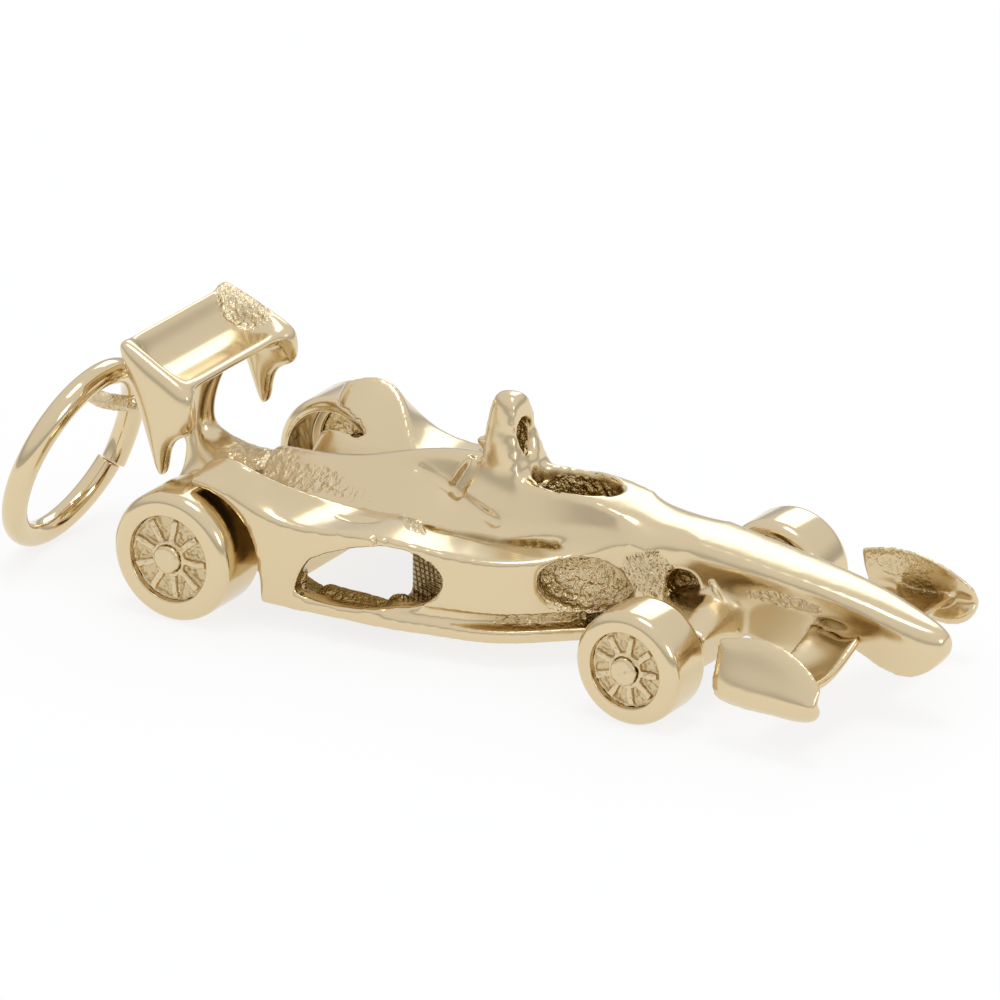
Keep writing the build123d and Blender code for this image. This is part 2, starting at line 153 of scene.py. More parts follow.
def choose_faces(piece: bpy.types.Object, test: Callable[[Vector], bool]) -> None:
    """Selects, in edit mode, the faces whose middles pass a test.

    Args:
        piece: the mesh object in edit mode.
        test: takes a face's middle.
    """
    bpy.ops.mesh.select_mode(type="FACE")
    mesh = bmesh.from_edit_mesh(piece.data)
    for face in mesh.faces:
        face.select_set(test(face.calc_center_median()))
    mesh.select_flush_mode()
    bmesh.update_edit_mesh(piece.data)


def apply_modifier(piece: bpy.types.Object, kind: str, **settings: object) -> None:
    """Adds a modifier to a piece, sets it and applies it.

    Args:
        piece: the mesh object.
        kind: the modifier's type.
        settings: the modifier's own settings.
    """
    pick(piece)
    modifier = piece.modifiers.new(kind.title(), kind)
    for name, value in settings.items():
        setattr(modifier, name, value)
    bpy.ops.object.modifier_apply(modifier=modifier.name)


def join(name: str, pieces: list[bpy.types.Object]) -> bpy.types.Object:
    """Joins pieces into one mesh object.

    Args:
        name: the joined object's name.
        pieces: the objects to join.

    Returns:
        The joined object.
    """
    pick(*pieces)
    if len(pieces) > 1:
        bpy.ops.object.join()
    joined = bpy.context.view_layer.objects.active
    joined.name = name
    joined.data.name = name
    return joined


def settle(piece: bpy.types.Object) -> None:
    """Puts a new primitive's place, turn and scale into its mesh.

    Args:
        piece: the mesh object.
    """
    pick(piece)
    bpy.ops.object.transform_apply(location=True, rotation=True, scale=True)


def copy_in_millimetres(frame: dict, node: str) -> bpy.types.Object:
    """Copies a CAD node with its loose triangles merged, in millimetres.

    Args:
        node: the CAD node's name.

    Returns:
        The copy, which rides on nothing yet.
    """
    mesh = frame["nodes"][node].data.copy()
    mesh.transform(Matrix.Scale(1 / MM, 4))
    mesh.materials.clear()
    copy = bpy.data.objects.new(f"{node} copy", mesh)
    bpy.context.scene.collection.objects.link(copy)
    with editing(copy):
        bpy.ops.mesh.select_all(action="SELECT")
        bpy.ops.mesh.remove_doubles(threshold=TINY)
    return copy


def directions_around(count: int) -> np.ndarray:
    """Directions spread evenly over a sphere.

    Args:
        count: how many directions.

    Returns:
        An array of unit vectors.
    """
    index = np.arange(count) + 0.5
    height = 1 - 2 * index / count
    turn = math.pi * (1 + math.sqrt(5)) * index
    width = np.sqrt(1 - height**2)
    return np.stack((width * np.cos(turn), width * np.sin(turn), height), axis=1)


def places_of(piece: bpy.types.Object) -> np.ndarray:
    """Places of a piece's vertices.

    Args:
        piece: the mesh object.

    Returns:
        One row of three numbers for each vertex.
    """
    places = np.empty(3 * len(piece.data.vertices), np.float32)
    piece.data.vertices.foreach_get("co", places)
    return places.reshape(-1, 3).astype(float)


def normals_of(piece: bpy.types.Object) -> np.ndarray:
    """Normals of a piece's vertices.

    Args:
        piece: the mesh object.

    Returns:
        One row of three numbers for each vertex.
    """
    normals = np.empty(3 * len(piece.data.vertices), np.float32)
    piece.data.vertex_normals.foreach_get("vector", normals)
    return normals.reshape(-1, 3).astype(float)


def evened(piece: bpy.types.Object, shares: np.ndarray, times: int) -> np.ndarray:
    """Evens a value out between neighbouring vertices.

    Args:
        piece: the mesh object.
        shares: one value for each vertex.
        times: how often it is evened out.

    Returns:
        The evened values.
    """
    edges = np.empty(2 * len(piece.data.edges), np.int32)
    piece.data.edges.foreach_get("vertices", edges)
    edges = edges.reshape(-1, 2)
    for _ in range(times):
        total = shares.copy()
        count = np.ones(len(shares))
        np.add.at(total, edges[:, 0], shares[edges[:, 1]])
        np.add.at(total, edges[:, 1], shares[edges[:, 0]])
        np.add.at(count, edges[:, 0], 1)
        np.add.at(count, edges[:, 1], 1)
        shares = total / count
    return shares


def shut_in(piece: bpy.types.Object, reach: float, rays: int) -> np.ndarray:
    """Measures how shut in each vertex is.

    Args:
        piece: the mesh object, in millimetres.
        reach: how far a wall still shuts a place in.
        rays: how many directions are tried.

    Returns:
        One share from 0, open, to 1, shut in, for each vertex.
    """
    mesh = piece.data
    places = [vertex.co.copy() for vertex in mesh.vertices]
    normals = [vertex.normal.copy() for vertex in mesh.vertices]
    tree = BVHTree.FromPolygons(places, [list(face.vertices) for face in mesh.polygons])
    directions = [Vector(direction) for direction in directions_around(rays)]
    shares = np.zeros(len(places))
    for index, (place, normal) in enumerate(zip(places, normals)):
        start = place + normal * RAY_START
        hits = 0
        tried = 0
        for direction in directions:
            if direction.dot(normal) > GRAZING:
                tried += 1
                hits += tree.ray_cast(start, direction, reach)[0] is not None
        shares[index] = hits / max(tried, 1)
    return evened(piece, shares, CAVITY_EVENING)


def keep_attribute(piece: bpy.types.Object, name: str, shares: np.ndarray) -> None:
    """Keeps a value for each vertex under a name, for the material.

    Args:
        piece: the mesh object.
        name: the attribute's name.
        shares: one value for each vertex.
    """
    attribute = piece.data.attributes.new(name, "FLOAT", "POINT")
    attribute.data.foreach_set("value", shares.astype(np.float32))


def weigh(piece: bpy.types.Object, name: str, weights: np.ndarray) -> None:
    """Makes a vertex group in steps of weight.

    Args:
        piece: the mesh object.
        name: the group's name.
        weights: a weight from 0 to 1 for each vertex.
    """
    group = piece.vertex_groups.new(name=name)
    steps = np.clip(np.round(weights * WEIGHT_STEPS), 0, WEIGHT_STEPS).astype(int)
    for step in range(1, WEIGHT_STEPS + 1):
        members = np.nonzero(steps == step)[0].tolist()
        if members:
            group.add(members, step / WEIGHT_STEPS, "REPLACE")


def roughen(piece: bpy.types.Object, weights: np.ndarray, height: float, grain: float) -> None:
    """Pushes vertices in and out along their normals, as on a rough cast skin.

    Args:
        piece: the mesh object, in millimetres.
        weights: how much of the height each vertex takes.
        height: the most that a vertex moves.
        grain: the size of the lumps.
    """
    group = f"rough {height} {grain}"
    weigh(piece, group, weights)
    texture = bpy.data.textures.new(f"{piece.name} lumps", "CLOUDS")
    texture.noise_scale = grain
    texture.noise_depth = LUMP_DETAIL
    apply_modifier(
        piece,
        "DISPLACE",
        texture=texture,
        texture_coords="LOCAL",
        strength=2 * height,
        mid_level=0.5,
        vertex_group=group,
    )


def raise_skin(piece: bpy.types.Object, name: str, weights: np.ndarray, height: float) -> None:
    """Raises the skin along its normals, or sinks it.

    Args:
        piece: the mesh object, in millimetres.
        name: what is raised.
        weights: how much of the height each vertex takes.
        height: how far it is raised; below 0 it is sunk.
    """
    weigh(piece, name, weights)
    apply_modifier(piece, "DISPLACE", strength=height, mid_level=0, vertex_group=name)


def refine(piece: bpy.types.Object, weights: np.ndarray) -> None:
    """Halves the faces where more detail comes.

    Args:
        piece: the mesh object.
        weights: a share for each vertex; faces whose corners have any are halved.
    """
    corners = np.empty(len(piece.data.loops), np.int32)
    piece.data.loops.foreach_get("vertex_index", corners)
    starts = np.empty(len(piece.data.polygons), np.int32)
    piece.data.polygons.foreach_get("loop_start", starts)
    chosen = np.minimum.reduceat((weights > 0)[corners], starts)
    with editing(piece, chosen):
        bpy.ops.mesh.subdivide(number_cuts=1)


def soften(piece: bpy.types.Object, weights: np.ndarray, times: int) -> None:
    """Rounds a piece's edges.

    Args:
        piece: the mesh object.
        weights: how much each vertex is rounded.
        times: how often it is smoothed.
    """
    group = f"soft {times}"
    weigh(piece, group, weights)
    smooth(piece, times, group)


def smooth(piece: bpy.types.Object, times: int, group: str = "") -> None:
    """Smooths a piece, or one vertex group of it.

    Args:
        piece: the mesh object.
        times: how often it is smoothed.
        group: the vertex group; without one the whole piece is smoothed.
    """
    apply_modifier(piece, "SMOOTH", factor=SMOOTH_FACTOR, iterations=times, vertex_group=group)


def grow(piece: bpy.types.Object, voxel: float, smoothing: int, swell: float = 0.0) -> None:
    """Grows a piece anew as one closed skin with soft edges.

    Args:
        piece: the mesh object, in millimetres.
        voxel: size of the cells that it is grown from.
        smoothing: how often it is smoothed.
        swell: how far it is swollen, to make up for what the smoothing takes.
    """
    apply_modifier(piece, "REMESH", mode="VOXEL", voxel_size=voxel, use_smooth_shade=True)
    if swell:
        apply_modifier(piece, "DISPLACE", strength=swell, mid_level=0)
    smooth(piece, smoothing)


def finish_edges(piece: bpy.types.Object, width: float, sharp: float, flat: float) -> None:
    """Rounds a piece's sharp edges and shades the rest of it smooth.

    Args:
        piece: the mesh object, in millimetres.
        width: the rounding's width.
        sharp: edges that turn by more than this are rounded, in degrees.
        flat: edges that turn by less than this are shaded smooth, in degrees.
    """
    angle = math.radians(sharp)
    apply_modifier(
        piece, "BEVEL", limit_method="ANGLE", angle_limit=angle, width=width, segments=BEVEL_STEPS
    )
    pick(piece)
    bpy.ops.object.shade_smooth_by_angle(angle=math.radians(flat))


@dataclass(frozen=True)
class Zone:
    """Egg-shaped part of the car in which something is done to the skin.

    Attributes:
        centre: its middle on the car.
        reach: its half sizes along the three axes.
        amount: the share in its middle.
        both_sides: True has it on the other side too.
        edge: how wide its faded edge is, as a share of its size.
        facing: a direction that the skin has to face, if any.
    """

    centre: Point
    reach: Point
    amount: float = 1.0
    both_sides: bool = True
    edge: float = 0.35
    facing: Point | None = None

    def shares(self, middle_x: float, places: np.ndarray, normals: np.ndarray) -> np.ndarray:
        """Share of the zone at each place.

        Args:
            middle_x: x of the middle of the wheelbase.
            places: the places.
            normals: the skin's normals there.

        Returns:
            One share for each place.
        """
        offsets = places - np.array((middle_x, 0, 0))
        turned = normals.copy()
        if self.both_sides:
            turned[:, 1] *= np.where(offsets[:, 1] < 0, -1, 1)
            offsets[:, 1] = np.abs(offsets[:, 1])
        offsets = (offsets - np.array(self.centre)) / np.array(self.reach)
        shares = np.clip((1 - np.linalg.norm(offsets, axis=1)) / self.edge, 0, 1) * self.amount
        if self.facing is not None:
            facing = np.array(self.facing) / np.linalg.norm(self.facing)
            shares *= np.clip((turned @ facing) * FACING_SLOPE, 0, 1)
        return shares


@dataclass(frozen=True)
class Line:
    """Line along the skin that is raised or cut in.

    Attributes:
        points: the places that it passes on the car.
        width: its half width.
        height: how far it is raised, or cut in if it is below 0.
        both_sides: True has it on the other side too.
    """

    points: tuple[Point, ...]
    width: float
    height: float
    both_sides: bool = True

    def distances(self, middle_x: float, places: np.ndarray) -> np.ndarray:
        """Distance of each place from the line.

        Args:
            middle_x: x of the middle of the wheelbase.
            places: the places.

        Returns:
            One distance for each place.
        """
        offsets = places - np.array((middle_x, 0, 0))
        if self.both_sides:
            side = math.copysign(1, self.points[0][1])
            offsets[:, 1] = side * np.abs(offsets[:, 1])
        nearest = np.full(len(offsets), np.inf)
        for start, end in zip(self.points, self.points[1:]):
            first, along = np.array(start), np.array(end) - np.array(start)
            share = np.clip((offsets - first) @ along / (along @ along), 0, 1)
            gaps = np.linalg.norm(offsets - first - share[:, None] * along, axis=1)
            nearest = np.minimum(nearest, gaps)
        return nearest


def most(zones: tuple[Zone, ...], middle_x: float, piece: bpy.types.Object) -> np.ndarray:
    """Largest share of several zones at each vertex.

    Args:
        zones: the zones.
        middle_x: x of the middle of the wheelbase.
        piece: the mesh object.

    Returns:
        One share for each vertex.
    """
    places, normals = places_of(piece), normals_of(piece)
    shares = np.zeros(len(places))
    for zone in zones:
        shares = np.maximum(shares, zone.shares(middle_x, places, normals))
    return shares


# Shader helpers

# Numbers of the Mix node's colour sockets
FIRST_COLOUR = 6
SECOND_COLOUR = 7
MIXED_COLOUR = 2


class Value:
    """A number in a node tree, which adds Math nodes as Python's own arithmetic is used on it."""

    def __init__(self, graph: "Graph", socket: bpy.types.NodeSocket) -> None:
        """Wraps an output socket of a graph."""
        self.graph = graph
        self.socket = socket

    def math(self, operation: str, other: "Value | float | None" = None, swap: bool = False) -> "Value":
        """Adds a Math node.

        Args:
            operation: the node's operation.
            other: the second number, if the operation has one.
            swap: True puts the other number first.

        Returns:
            The node's result.
        """
        operands = [self] if other is None else [other, self] if swap else [self, other]
        inputs = dict(enumerate(operands))
        return self.graph.add("ShaderNodeMath", {"operation": operation}, inputs)

    def __add__(self, other: "Value | float") -> "Value":
        """Sum."""
        return self.math("ADD", other)

    def __radd__(self, other: float) -> "Value":
        """Sum, with the number first."""
        return self.math("ADD", other, swap=True)

    def __sub__(self, other: "Value | float") -> "Value":
        """Difference."""
        return self.math("SUBTRACT", other)

    def __rsub__(self, other: float) -> "Value":
        """Difference, with the number first."""
        return self.math("SUBTRACT", other, swap=True)

    def __mul__(self, other: "Value | float") -> "Value":
        """Product."""
        return self.math("MULTIPLY", other)

    def __rmul__(self, other: float) -> "Value":
        """Product, with the number first."""
        return self.math("MULTIPLY", other, swap=True)

    def spread(self, low: float, high: float) -> "Value":
        """Soft step from 0 at low to 1 at high."""
        inputs = {"Value": self, "From Min": low, "From Max": high}
        return self.graph.add("ShaderNodeMapRange", {"interpolation_type": "SMOOTHSTEP"}, inputs)


class Graph:
    """The node tree of a material or of the world."""

    def __init__(self, tree: bpy.types.NodeTree) -> None:
        """Empties a node tree and takes it over."""
        self.tree = tree
        tree.nodes.clear()

    def add(self, kind: str, settings: dict, inputs: dict, output: int | str = 0) -> Value | None:
        """Adds a node.

        Args:
            kind: the node's type.
            settings: the node's own settings, set before its sockets.
            inputs: a value or a link for each named or numbered socket.
            output: the socket that is handed back.

        Returns:
            The chosen output, or nothing from a node that has none.
        """
        node = self.tree.nodes.new(kind)
        for name, value in settings.items():
            if name == "stops":
                self.set_stops(node.color_ramp, value)
            else:
                setattr(node, name, value)
        for name, value in inputs.items():
            if isinstance(value, Value):
                self.tree.links.new(value.socket, node.inputs[name])
            else:
                node.inputs[name].default_value = value
        if not node.outputs:
            return None
        return Value(self, node.outputs[output])

    def set_stops(self, ramp: bpy.types.ColorRamp, stops: tuple[tuple[float, Colour], ...]) -> None:
        """Gives a colour ramp its stops.

        Args:
            ramp: the ramp.
            stops: a place and a colour for each stop.
        """
        while len(ramp.elements) < len(stops):
            ramp.elements.new(1)
        for element, (place, colour) in zip(ramp.elements, stops):
            element.position = place
            element.color = (*colour, 1)

    def noise(self, place: Value, scale: float, detail: float) -> Value:
        """Noise from 0 to 1, with so many grains in a metre."""
        return self.add("ShaderNodeTexNoise", {}, {"Vector": place, "Scale": scale, "Detail": detail})

    def part(self, vector: Value, axis: int) -> Value:
        """One part of a vector, by the number of its axis."""
        return self.add("ShaderNodeSeparateXYZ", {}, {0: vector}, axis)

    def mixed(self, share: Value, first: Value | Colour, second: Value | Colour) -> Value:
        """Mixes two colours.

        Args:
            share: share of the second colour.
            first: the first colour.
            second: the second colour.

        Returns:
            The mixed colour.
        """
        first, second = (
            colour if isinstance(colour, Value) else (*colour, 1) for colour in (first, second)
        )
        sockets = {"Factor": share, FIRST_COLOUR: first, SECOND_COLOUR: second}
        return self.add("ShaderNodeMix", {"data_type": "RGBA"}, sockets, MIXED_COLOUR)


@dataclass(frozen=True)
class Gold:
    """Gold finish, whose open places are polished and whose shut in places keep their cast skin,
    darkened with painted shade.

    Attributes:
        name: the material's name.
        colour: colour of the polished metal.
        painted_shade_colour: colour of the painted shade in the recesses.
        polish: roughness where it is polished.
        satin: roughness where it is only sanded.
        skin: roughness of the cast skin.
        least_skin: share of cast skin that is left everywhere.
        skin_fade: shares between which the cast skin comes in.
        painted_shade_fade: shares between which a recess turns painted_shade_colour, as painted shade.
        wave: height of the soft waves left by polishing, in millimetres.
        wave_scale: waves in a metre.
        grain: height of the grains of the cast skin, in millimetres.
        grain_scale: grains in a metre.
        patch_scale: patches in a metre, which make the finish uneven.
        patchy_skin: how much they change the share of cast skin.
        patchy_satin: how much they change the share of sanded skin.
        patchy_roughness: how much they change the roughness.
        hatch: height of the scales cut into the windows' front walls, in millimetres.
        hatch_scale: turn of the scales' waves in a metre, in radians.
        hatch_sweep: how far their rows lean back from the middle of the car.
        hatch_slopes: slopes of their two rows.
    """

    name: str
    colour: Colour = (0.74, 0.605, 0.38)
    # Painted shade: the colour that shut in places are darkened to, standing in for the shade that
    # falls there.
    painted_shade_colour: Colour = (0.42, 0.30, 0.125)
    polish: float = 0.19
    satin: float = 0.42
    skin: float = 0.17
    least_skin: float = 0.0
    skin_fade: tuple[float, float] = (0.15, 0.75)
    painted_shade_fade: tuple[float, float] = (0.25, 0.85)
    wave: float = 0.010
    wave_scale: float = 420.0
    grain: float = 0.20
    grain_scale: float = 4600.0
    patch_scale: float = 900.0
    patchy_skin: float = 0.6
    patchy_satin: float = 0.3
    patchy_roughness: float = 0.05
    hatch: float = 0.20
    hatch_scale: float = 17000.0
    hatch_sweep: float = -0.6
    hatch_slopes: tuple[float, float] = (1.2, -0.9)

    def material(self) -> bpy.types.Material:
        """Makes the material.

        Returns:
            The material.
        """
        material = bpy.data.materials.new(self.name)
        material.use_nodes = True
        graph = Graph(material.node_tree)
        place = graph.add("ShaderNodeTexCoord", {}, {}, "Object")
        shares = {}
        for share in ("cavity", "skin", "satin", "hatch"):
            shares[share] = graph.add("ShaderNodeAttribute", {"attribute_name": share}, {}, "Fac")
        patches = graph.noise(place, self.patch_scale, detail=2.0) - 0.5
        skin = shares["skin"] + patches * self.patchy_skin * shares["skin"]
        skin = skin.spread(*self.skin_fade).math("MAXIMUM", self.least_skin)
        satin = shares["satin"] + patches * self.patchy_satin * shares["satin"]
        # Painted shade: the more shut in a place is, the darker its colour.
        painted_shade = shares["cavity"].spread(*self.painted_shade_fade)
        waves = graph.noise(place, self.wave_scale, detail=1.0) - 0.5
        grains = graph.noise(place, self.grain_scale, detail=2.5) - 0.5
        height = waves * (self.wave * MM) + grains * skin * (self.grain * MM)
        height = height + self.scales(graph, place) * shares["hatch"] * (self.hatch * MM)
        bump = graph.add("ShaderNodeBump", {}, {"Height": height, "Strength": 1.0, "Distance": 1.0})
        roughness = self.polish + skin * (self.skin - self.polish) + satin * (self.satin - self.polish)
        sockets = {
            "Base Color": graph.mixed(painted_shade, self.colour, self.painted_shade_colour),
            "Metallic": 1.0,
            "Roughness": roughness + patches * self.patchy_roughness,
            "Normal": bump,
        }
        shader = graph.add("ShaderNodeBsdfPrincipled", {}, sockets)
        graph.add("ShaderNodeOutputMaterial", {}, {"Surface": shader})
        return material

    def scales(self, graph: Graph, place: Value) -> Value:
        """Crossed rows of small scales.

        Args:
            graph: the node tree.
            place: the place on the piece.

        Returns:
            Their height, from -1 to 1.
        """
        along, across, height = (graph.part(place, axis) for axis in range(3))
        row = along + across.math("ABSOLUTE") * self.hatch_sweep
        first, second = (
            ((row + height * slope) * self.hatch_scale).math("SINE") for slope in self.hatch_slopes
        )
        return first * second


@dataclass(frozen=True)
class StudioWhite:
    """White floor, which is partly lit and partly as white as the surroundings.

    Attributes:
        name: the material's name.
        colour: the floor's own colour.
        glow: share of plain white that the camera and reflections see.
    """

    name: str = "studio white"
    colour: Colour = (0.93, 0.92, 0.90)
    glow: float = 0.8

    def material(self) -> bpy.types.Material:
        """Makes the material.

        Returns:
            The material.
        """
        material = bpy.data.materials.new(self.name)
        material.use_nodes = True
        graph = Graph(material.node_tree)
        seen = seen_directly(graph) * self.glow
        lit = graph.add("ShaderNodeBsdfDiffuse", {}, {"Color": (*self.colour, 1)})
        white = graph.add("ShaderNodeEmission", {}, {"Color": (1, 1, 1, 1), "Strength": 1.0})
        mixed = graph.add("ShaderNodeMixShader", {}, {0: seen, 1: lit, 2: white})
        graph.add("ShaderNodeOutputMaterial", {}, {"Surface": mixed})
        return material


def seen_directly(graph: Graph) -> Value:
    """Share of a ray that comes from the camera, or from a reflection or a refraction.

    Args:
        graph: the node tree.

    Returns:
        1 for such a ray, otherwise 0.
    """
    camera = graph.add("ShaderNodeLightPath", {}, {}, "Is Camera Ray")
    glossy = graph.add("ShaderNodeLightPath", {}, {}, "Is Glossy Ray")
    through = graph.add("ShaderNodeLightPath", {}, {}, "Is Transmission Ray")
    return camera.math("MAXIMUM", glossy).math("MAXIMUM", through)


# Pieces


@dataclass
class Datum:
    """Where the car stands in the row frame, in millimetres.

    Attributes:
        middle_x: x of the middle of the wheelbase.
    """

    frame: dict
    middle_x: float = field(init=False)

    def __post_init__(self) -> None:
        """Finds the middle of the wheelbase from the CAD part's axles."""
        axles = []
        for end in End:
            low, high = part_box(f"{end.value}_axle")
            axles.append((low.x + high.x) / 2 / MM)
        self.middle_x = sum(axles) / 2

    def at(self, x: float, y: float, z: float) -> Vector:
        """Point of the car in the row frame.

        Args:
            x: distance forward from the middle of the wheelbase.
            y: distance to the left.
            z: height.

        Returns:
            The point, in millimetres.
        """
        return Vector((x + self.middle_x, y, z))


def hand_over(
    piece: bpy.types.Object,
    finish: bpy.types.Material,
    body: str,
    nodes: tuple[str, ...],
) -> None:
    """Shrinks a piece to metres, gives it its finish and ties it to the CAD part.

    Args:
        piece: the mesh object, in millimetres.
        finish: its material.
        body: the CAD body that it moves with.
        nodes: the CAD nodes that it stands for.
    """
    piece.data.transform(Matrix.Scale(MM, 4))
    piece.data.materials.clear()
    piece.data.materials.append(finish)
    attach(piece, body)
    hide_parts(*nodes)
    LOG.info("%s: %d faces", piece.name, len(piece.data.polygons))


@dataclass(frozen=True)
class Skin:
    """What is done to a casting's skin, and where.

    Attributes:
        rough: zones left as they were cast.
        painted_shade: zones darkened with painted shade, as the deep recesses are.
        satin: zones that are only sanded.
        scaled: zones with rows of scales.
        rounded: zones whose edges are rounded further.
        levelled: zones whose creases are levelled off.
        sunk: zones that are sunk by their amount, in millimetres.
        lines: ridges and grooves.
    """

    rough: tuple[Zone, ...] = ()
    # Zones darkened with painted shade, where shade falls between parts.
    painted_shade: tuple[Zone, ...] = ()
    satin: tuple[Zone, ...] = ()
    scaled: tuple[Zone, ...] = ()
    rounded: tuple[Zone, ...] = ()
    levelled: tuple[Zone, ...] = ()
    sunk: tuple[Zone, ...] = ()
    lines: tuple[Line, ...] = ()


@dataclass
class Casting:
    """A piece of the casting, grown together from CAD nodes with soft edges.

    Attributes:
        datum: where the car stands.
        name: the piece's name.
        nodes: the CAD nodes in it.
        skin: what is done to its skin.
        voxel: size of the cells it is grown from.
        smoothing: how often it is smoothed.
        swell: how far it is swollen, to make up for what the smoothing takes.
        rounding: how often the zones to round are smoothed.
        levelling: how often the zones to level are smoothed.
        fine_line: lines narrower than this many cells get finer faces.
        fine_reach: how far from the line they reach, in half widths of it.
        lump_height: height of the lumps of its rough skin.
        lump_size: size of those lumps.
        cavity_reach: how far a wall still shuts a place in.
        cavity_rough: how shut in the places are from which on the skin is rough.
        cavity_fade: how much further shut in it is fully rough.
        rays: directions tried from each place.
    """

    datum: Datum
    name: str
    nodes: tuple[str, ...]
    skin: Skin = Skin()
    voxel: float = 0.1
    smoothing: int = 8
    swell: float = 0.0
    rounding: int = 30
    levelling: int = 250
    fine_line: float = 3.0
    fine_reach: float = 2.0
    lump_height: float = 0.055
    lump_size: float = 0.28
    cavity_reach: float = 3.0
    cavity_rough: float = 0.45
    cavity_fade: float = 0.25
    rays: int = 40

    def build(self, finish: bpy.types.Material) -> None:
        """Makes the piece.

        Args:
            finish: its material.
        """
        piece = join(self.name, [copy_in_millimetres(self.datum.frame, node) for node in self.nodes])
        grow(piece, self.voxel, self.smoothing, self.swell)
        self.shape(piece)
        cavity = shut_in(piece, self.cavity_reach, self.rays)
        deep = np.clip((cavity - self.cavity_rough) / self.cavity_fade, 0, 1)
        rough = np.maximum(self.zoned(self.skin.rough, piece), deep)
        roughen(piece, rough, self.lump_height, self.lump_size)
        # Painted shade: shut in places and the shaded zones are darkened in the material.
        keep_attribute(piece, "cavity", np.maximum(cavity, self.zoned(self.skin.painted_shade, piece)))
        keep_attribute(piece, "skin", rough)
        keep_attribute(piece, "satin", self.zoned(self.skin.satin, piece))
        keep_attribute(piece, "hatch", self.zoned(self.skin.scaled, piece))
        pick(piece)
        bpy.ops.object.shade_smooth()
        hand_over(piece, finish, "car", self.nodes)

    def zoned(self, zones: tuple[Zone, ...], piece: bpy.types.Object) -> np.ndarray:
        """Largest share of these zones at each of the piece's vertices."""
        return most(zones, self.datum.middle_x, piece)

    def shape(self, piece: bpy.types.Object) -> None:
        """Rounds, sinks and raises parts of the skin.

        Args:
            piece: the mesh object, in millimetres.
        """
        middle_x = self.datum.middle_x
        soften(piece, self.zoned(self.skin.rounded, piece), self.rounding)
        soften(piece, self.zoned(self.skin.levelled, piece), self.levelling)
        places = places_of(piece)
        near = self.zoned(self.skin.sunk, piece)
        for line in self.skin.lines:
            if line.width < self.fine_line * self.voxel:
                close = line.distances(middle_x, places) < self.fine_reach * line.width
                near = np.maximum(near, close)
        if near.any():
            refine(piece, near)
        for number, zone in enumerate(self.skin.sunk):
            shares = zone.shares(middle_x, places_of(piece), normals_of(piece)) / zone.amount
            raise_skin(piece, f"sunk {number}", shares, -zone.amount)
        for number, line in enumerate(self.skin.lines):
            gaps = line.distances(middle_x, places_of(piece)) / line.width
            raise_skin(piece, f"line {number}", np.clip(1 - gaps**2, 0, 1) ** 2, line.height)


